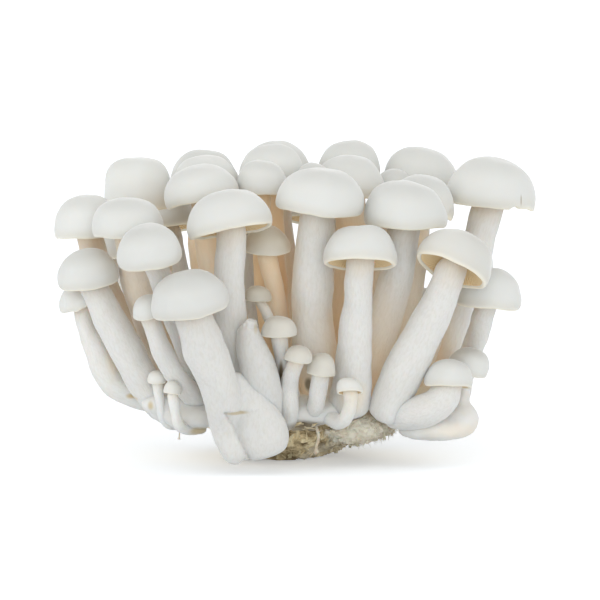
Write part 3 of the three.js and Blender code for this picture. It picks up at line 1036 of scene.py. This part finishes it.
soilLook = {
    "voxel": 0.0008,
    "rounds": 2,
    # two kinds of unevenness: how wide the lumps are and how high
    "crust": (0.004, 0.0022),
    "crumbs": (0.0013, 0.0012),
    "cut": 0.0001,    # the plug is cut flat at this height
    "chips": 420,
    "chipsOver": (0.001, 0.012),    # between these heights
    "chipLength": (0.0012, 0.0030),
    "chipTones": (0.1, 0.95),
    "clinging": 45,    # chips that cling to the butt between these two corners
    "clingFrom": (-0.0060, -0.0300, 0.0080),
    "clingTo": (0.0090, -0.0120, 0.0124),
    "clingTones": (0.0, 0.3),
    # how a chip differs from the usual one: width, thickness, tilt
    "width": (0.6, 1.3),
    "thickness": (0.7, 1.6),
    "tilt": 0.7,
}


def scatter(ground, accept):    # random places on a piece's faces, with the way each faces
    faces = [face for face in ground.data.polygons if accept(face.center, face.normal)]
    while True:
        face = random.choice(faces)
        yield face.center.copy(), face.normal.copy()


def anyWay(most):
    return Vector([random.uniform(-most, most) for _ in range(3)])


def flake(name, place, normal, size):    # a chip that lies on a surface
    chip = copyOf(masters["chip"], name)
    width, thickness = random.uniform(*soilLook["width"]), random.uniform(*soilLook["thickness"])
    chip.scale = (size, size * width, size * thickness)
    tilt = normal + anyWay(soilLook["tilt"])
    chip.rotation_mode = "QUATERNION"
    chip.rotation_quaternion = tilt.to_track_quat("Z", random.choice("XY"))
    chip.location = place
    chip.location.z = max(place.z, size / 2)
    return chip


def strew(name, count, spots, tones):
    chips = []
    for index in range(count):
        place, normal = next(spots)
        chip = flake("%s_%d" % (name, index), place, normal, random.uniform(*soilLook["chipLength"]))
        keepNumber(chip, "tone", random.uniform(*tones))
        chips.append(chip)
    return chips


def between(place, low, high):
    return all(a < b < c for a, b, c in zip(low, place, high))


def growSubstrate(butt):
    plug = mergedCopy("substrate_plug", "substrate_crust")
    melt(plug, soilLook["voxel"], soilLook["rounds"])
    uneven(plug, "crustClouds", *soilLook["crust"])
    uneven(plug, "crumbClouds", *soilLook["crumbs"])
    cutAway(plug, (0, 0, soilLook["cut"]), (0, 0, -1))
    keepNumber(plug, "tone", 0.0)
    low, high = soilLook["chipsOver"]
    onPlug = scatter(plug, lambda place, normal: normal.z > -0.8 and low < place.z < high)
    corners = soilLook["clingFrom"], soilLook["clingTo"]
    onButt = scatter(butt, lambda place, normal: between(place, *corners))
    pieces = [plug, *strew("chip", soilLook["chips"], onPlug, soilLook["chipTones"]),
              *strew("clinging", soilLook["clinging"], onButt, soilLook["clingTones"])]
    for piece in pieces:
        paint(piece, materials["substrate"])
    substrate = joined("substrate_crumble", *pieces)
    settle(substrate)
    hand(substrate, "substrate_plug")


feltLook = {
    "voxel": 0.0006,
    "rounds": 2,
    # two kinds of unevenness: how wide the lumps are and how high
    "crust": (0.004, 0.0026),
    "fuzz": (0.0010, 0.0010),
    "threads": 560,
    "threadLength": (0.0008, 0.0026),
    "threadThickness": (0.00003, 0.00008),
    "threadRoot": 0.0005,    # how deep in the felt a thread starts
    "threadSteps": 3,
    "stiffness": 0.6,    # how much of its way a thread keeps at each step
    "curl": 0.9,
    "drift": (0.2, 0, 0),    # the felt creeps to the right
    "lowest": 0.0006,
    "flakes": 90,
    "flakeSize": (0.0010, 0.0026),
    # strands that hang down: one like a root with a knob at its end, one a speck under the left edge
    "strands": [
        [((0.0034, -0.0170, 0.0115), 0.0005), ((0.0046, -0.0188, 0.0080), 0.0004),
         ((0.0040, -0.0190, 0.0050), 0.0004), ((0.0042, -0.0188, 0.0036), 0.0009)],
        [((-0.0296, -0.0200, 0.0110), 0.0003), ((-0.0300, -0.0205, 0.0092), 0.0002),
         ((-0.0301, -0.0205, 0.0080), 0.0002), ((-0.0302, -0.0205, 0.0074), 0.0006)],
    ],
}


def thread(name, start, way):
    length = random.uniform(*feltLook["threadLength"])
    radius = random.uniform(*feltLook["threadThickness"])
    points, place = [(start - way * feltLook["threadRoot"], radius)], start
    for _ in range(feltLook["threadSteps"]):
        turned = way * feltLook["stiffness"] + anyWay(feltLook["curl"])
        way = (turned + Vector(feltLook["drift"])).normalized()
        place = place + way * (length / feltLook["threadSteps"])
        place.z = max(place.z, feltLook["lowest"])
        points.append((place, radius))
    return alongCurve("thread", name, points)


def growFelt():
    mat = mergedCopy("mycelium_mat", "felt_mat")
    melt(mat, feltLook["voxel"], feltLook["rounds"])
    uneven(mat, "feltClouds", *feltLook["crust"])
    uneven(mat, "fuzzClouds", *feltLook["fuzz"])
    pieces = [mat]
    spots = scatter(mat, lambda place, normal: normal.y < 0.3 or normal.x > 0.3)    # front and right
    for index in range(feltLook["threads"]):
        place, normal = next(spots)
        pieces.append(thread("thread_%d" % index, place, normal))
    for index in range(feltLook["flakes"]):
        place, normal = next(spots)
        pieces.append(flake("flake_%d" % index, place, normal, random.uniform(*feltLook["flakeSize"])))
    for strand in feltLook["strands"]:
        pieces.append(alongCurve("stem", "strand", strand))
    for piece in pieces:
        paint(piece, materials["felt"])
    felt = joined("mycelium_felt", *pieces)
    settle(felt)
    hand(felt, "mycelium_mat")


growSubstrate(growButt())
growFelt()
print("stage: butt, substrate and felt grown")

for master in masters.values():
    remove(master)


stageLook = {
    "floorSize": 6.0,
    "floor": (0.88, 0.915, 0.95),
    "floorLift": 0.33,    # how much the floor shines by itself, to the camera only
    "world": 0.70,    # how much the white surroundings light the bunch
}


def floorFinish():
    finish = Finish("floor")
    shine = finish.shaded((1, 1, 1), finish.onlySeen())
    finish.set(Base_Color=stageLook["floor"], Roughness=0.9, Specular_IOR_Level=0.0,
               Emission_Color=shine, Emission_Strength=stageLook["floorLift"])
    return finish.material


deselectAll()
bpy.ops.mesh.primitive_plane_add(size=stageLook["floorSize"])
floor = bpy.context.object
floor.name = "floor"
paint(floor, floorFinish())

world = bpy.data.worlds.new("studio")
sky = Nodes(world)
level = sky.value("ShaderNodeMapRange", {},
                  {"Value": sky.onlySeen(), "To Min": stageLook["world"], "To Max": 1.0})
background = sky.add("ShaderNodeBackground", {}, {"Color": (1, 1, 1), "Strength": level})
sky.add("ShaderNodeOutputWorld", {}, {"Surface": background.outputs[0]})
bpy.context.scene.world = world

lamps = {    # where each stands, how strong it is and how wide it looks, in degrees
    "front": {"place": (0.05, -1.00, 0.20), "power": 0.64, "width": 30},
    "left": {"place": (-0.90, -0.45, 0.45), "power": 0.58, "width": 50},
    "right": {"place": (0.90, -0.45, 0.30), "power": 0.40, "width": 50},
    "top": {"place": (0.05, -0.15, 1.00), "power": 0.14, "width": 70},
    "back": {"place": (0.15, 0.90, 0.55), "power": 0.40, "width": 40},
}
for lampName, lamp in lamps.items():
    deselectAll()
    bpy.ops.object.light_add(type="SUN", location=lamp["place"])
    light = bpy.context.object
    light.name = lampName
    light.data.energy = lamp["power"]
    light.data.angle = math.radians(lamp["width"])
    light.rotation_euler = (-light.location).to_track_quat("-Z", "Y").to_euler()

cameraLook = {"lens": 1200, "elevation": 7.5, "distance": 5.0, "target": (0, 0, 0.0398)}
elevation = math.radians(cameraLook["elevation"])
back = Vector((0, -math.cos(elevation), math.sin(elevation)))
bpy.ops.object.camera_add(location=Vector(cameraLook["target"]) + back * cameraLook["distance"])
camera = bpy.context.object
camera.rotation_euler = (-back).to_track_quat("-Z", "Y").to_euler()
camera.data.lens = cameraLook["lens"]
bpy.context.scene.camera = camera
bpy.context.scene.view_settings.view_transform = "Standard"
print("stage: light and camera set")
